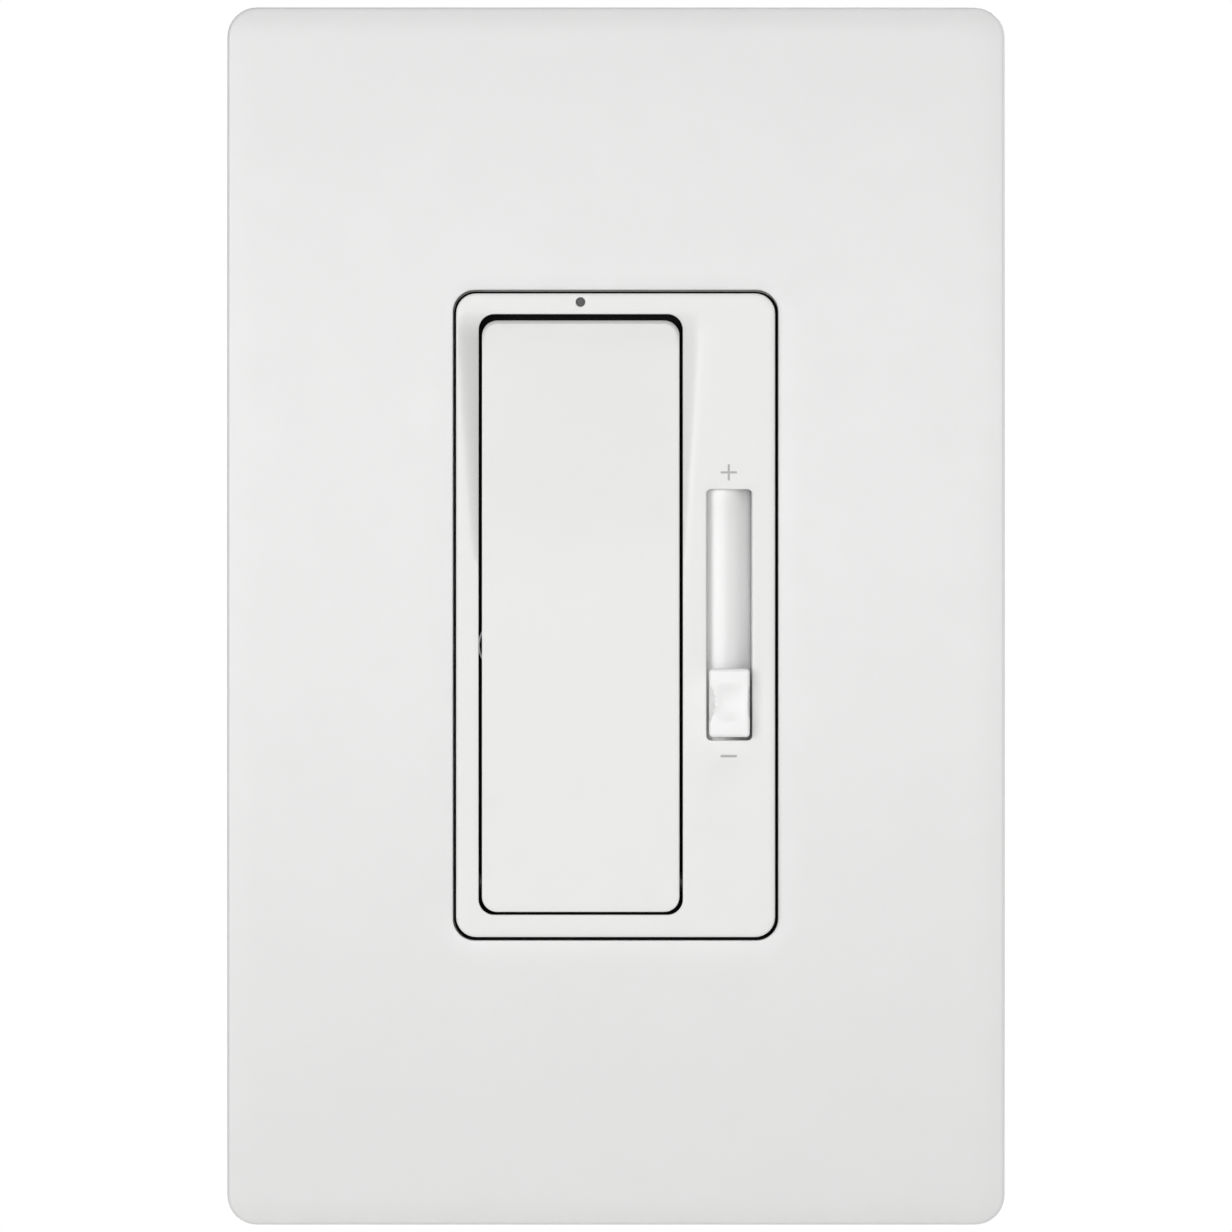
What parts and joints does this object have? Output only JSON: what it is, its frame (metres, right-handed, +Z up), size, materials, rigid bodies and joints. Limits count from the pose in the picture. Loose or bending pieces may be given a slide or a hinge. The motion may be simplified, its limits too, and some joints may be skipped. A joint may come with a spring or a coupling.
{
  "type": "paddle dimmer slide switch",
  "caption": "One-gang wall dimmer: large on/off paddle, slide control, screwless wall plate, metal strap and wired rear housing.",
  "frame": {"origin": "midway between the two box screws, on the wall surface", "axes": "+X to the right as seen from the room, +Y into the wall, +Z up"},
  "size_m": [0.0798, 0.0398, 0.125],
  "materials": {
    "plate_white": "smooth semi-gloss moulding",
    "device_white": "smooth semi-gloss moulding",
    "sub_plate_white": "fine matt moulding",
    "housing_black": "fine spark-eroded moulding",
    "aluminium": "mill finish, stamped",
    "zinc_steel": "bright zinc plate",
    "spring_steel": "drawn wire",
    "brass": "stamped and turned",
    "copper": "enamelled wire and contact strip",
    "fibre_red": "vulcanised fibre",
    "clear_acrylic": "polished acrylic",
    "lamp_lens": "diffused epoxy",
    "board_green": "solder resist over glass laminate",
    "switch_cream": "moulded",
    "plunger_red": "moulded",
    "carriage_white": "moulded acetal",
    "phenolic": "paper phenolic laminate",
    "epoxy_black": "transfer-moulded epoxy",
    "silicone_grey": "silicone sheet",
    "ferrite_yellow": "epoxy-coated iron powder",
    "film_red": "dipped epoxy",
    "resistor_tan": "lacquered",
    "diac_blue": "lacquered glass",
    "fuse_ceramic": "fired ceramic",
    "trimmer_blue": "moulded",
    "ground_green": "green chromate"
  },
  "bodies": {
    "root": {"cover_plate": "plate_white", "sub_plate": "sub_plate_white", "plate_screws": "zinc_steel", "box_screws": "zinc_steel", "screw_retainers": "fibre_red", "bezel": "device_white", "paddle_pin": "spring_steel", "light_pipe": "clear_acrylic", "mounting_strap": "aluminium", "rear_housing": "housing_black", "housing_screws": "zinc_steel", "circuit_board": "board_green", "led_lamp": "lamp_lens", "switch_base": "epoxy_black", "switch_cover": "switch_cream", "plunger_spring": "spring_steel", "fixed_contacts": "copper", "slider_case": "zinc_steel", "slider_track": "phenolic", "slider_pins": "zinc_steel", "triac": "epoxy_black", "triac_pad": "silicone_grey", "triac_screw": "zinc_steel", "choke_core": "ferrite_yellow", "choke_winding": "copper", "filter_capacitor": "film_red", "timing_capacitors": "film_red", "diac": "diac_blue", "resistors": "resistor_tan", "fuse": "fuse_ceramic", "trim_case": "trimmer_blue", "terminal_clamps": "brass", "pressure_plates": "brass", "terminal_screws": "brass", "ground_screw": "ground_green", "ground_washer": "brass"},
    "slider": {"slide_knob": "device_white", "slide_shutter": "device_white", "slider_carriage": "carriage_white", "wiper_contacts": "brass"},
    "rocker": {"paddle": "device_white"},
    "plunger": {"switch_plunger": "plunger_red"},
    "contact": {"contact_arm": "copper"},
    "trimmer": {"trim_rotor": "carriage_white"}
  },
  "joints": [
    {"name": "slide_travel", "type": "slide", "parent": "root", "child": "slider", "axis": [0, 0, 1], "range_m": [0, 0.018]},
    {"name": "paddle_press", "type": "hinge", "parent": "root", "child": "rocker", "pos_m": [-0.00362, -0.0035, -0.0273], "axis": [-1, 0, 0], "range_deg": [0, 2], "stiffness_Nm_per_rad": 2, "springref_deg": -1.72, "deforming": ["plunger_spring"]},
    {"name": "plunger_press", "type": "slide", "parent": "root", "child": "plunger", "axis": [0, 1, 0], "range_m": [0, 0.00175]},
    {"name": "contact_swing", "type": "hinge", "parent": "root", "child": "contact", "pos_m": [-0.00782, 0.00545, 0.0181], "axis": [0, 0, -1], "range_deg": [0, 6.85]},
    {"name": "trim_turn", "type": "hinge", "parent": "root", "child": "trimmer", "pos_m": [0.0187, 0, -0.024], "axis": [0, -1, 0], "range_deg": [-135, 135]}
  ],
  "couplings": [
    {"joint": "plunger_press", "follows": "paddle_press", "m_per_rad": 0.0495},
    {"joint": "contact_swing", "follows": "paddle_press", "ratio": 3.4}
  ]
}
